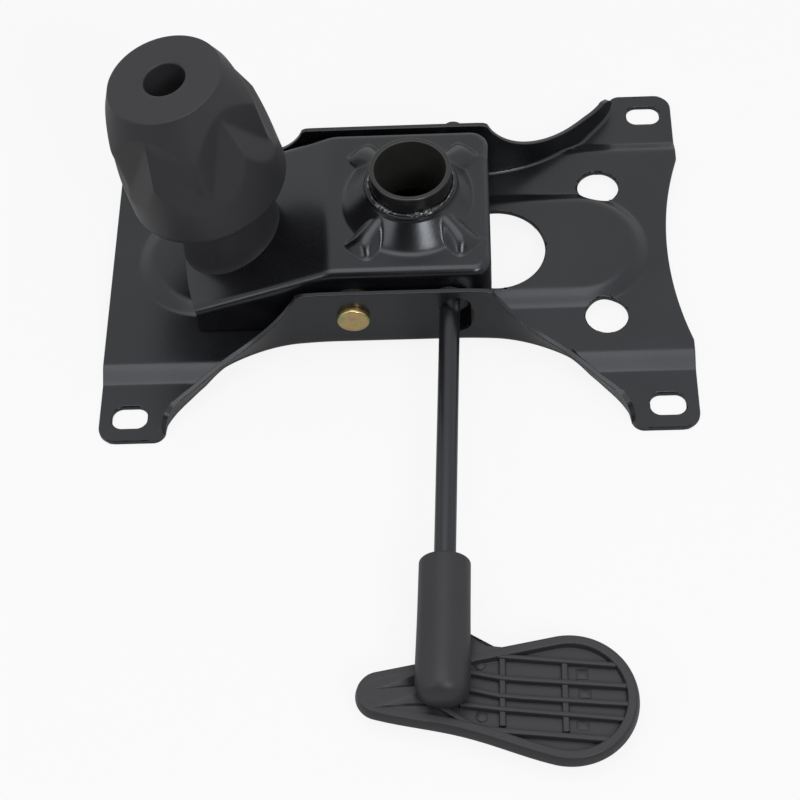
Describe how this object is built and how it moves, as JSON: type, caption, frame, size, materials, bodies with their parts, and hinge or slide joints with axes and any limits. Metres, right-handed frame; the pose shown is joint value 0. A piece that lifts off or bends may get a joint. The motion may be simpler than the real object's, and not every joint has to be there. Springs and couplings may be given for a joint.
{
  "type": "office chair tilt mechanism",
  "caption": "Pressed steel seat plate with cheeks that carry a sprung tilting housing: a taper socket for a gas lift, a lift lever with a paddle and a tension knob.",
  "frame": {"origin": "centre of the four seat slots, in the plane of the tabs that meets the seat", "axes": "+X to the back of the chair, +Y to the side away from the lever, +Z away from the seat, along the gas lift"},
  "size_m": [0.234, 0.314, 0.1157],
  "materials": {
    "black_paint": "satin black powder coat",
    "black_plastic": "matte moulded, fine grain",
    "zinc": "yellow passivated zinc",
    "spring_steel": "oiled steel",
    "weld": "painted weld, rough and glossy",
    "nylon": "black nylon"
  },
  "bodies": {
    "seat": {"seat_plate": "black_paint", "pivot_pin": "zinc", "pin_ring": "spring_steel"},
    "housing": {"tilt_housing": "black_paint", "taper_tube": "black_paint", "tube_weld": "weld", "tube_stay": "black_paint", "pivot_sleeve": "black_paint", "pivot_bush_near": "nylon", "pivot_bush_far": "nylon", "rod_bush_near": "nylon", "rod_bush_far": "nylon", "spring_cover": "black_plastic", "tension_spring": "spring_steel"},
    "lever": {"lever_rod": "black_paint", "rod_clip": "spring_steel", "release_tongue": "black_paint", "lever_handle": "black_plastic"},
    "bolt": {"tension_bolt": "spring_steel"},
    "washer": {"spring_seat": "spring_steel"},
    "knob": {"tension_knob": "black_plastic", "knob_nut": "zinc"}
  },
  "joints": [
    {"name": "tilt", "type": "hinge", "parent": "seat", "child": "housing", "pos_m": [-0.0163, 0, 0.0216], "axis": [0, 1, 0], "range_deg": [0, 12], "stiffness_Nm_per_rad": 100, "springref_deg": -22.92, "deforming": ["tension_spring"]},
    {"name": "lever_lift", "type": "hinge", "parent": "housing", "child": "lever", "pos_m": [0.0226, 0, 0.025], "axis": [0.029, 0.999, 0.0349], "range_deg": [0, 15], "stiffness_Nm_per_rad": 0.3, "springref_deg": -22.92},
    {"name": "bolt_swivel", "type": "hinge", "parent": "seat", "child": "bolt", "pos_m": [-0.0628, 0, 0.003], "axis": [0, 1, 0], "range_deg": [0, 6]},
    {"name": "washer_slide", "type": "slide", "parent": "bolt", "child": "washer", "axis": [-0.1599, 0, 0.9871], "range_m": [-0.00601, 0.00151], "deforming": ["tension_spring"]},
    {"name": "knob_turn", "type": "hinge", "parent": "washer", "child": "knob", "pos_m": [-0.0628, 0, 0.003], "axis": [-0.1599, 0, 0.9871], "range_deg": [-1440, 360]}
  ],
  "couplings": [
    {"joint": "bolt_swivel", "follows": "tilt", "ratio": 0.48},
    {"joint": "washer_slide", "follows": "knob_turn", "m_per_rad": 0.00023873}
  ]
}
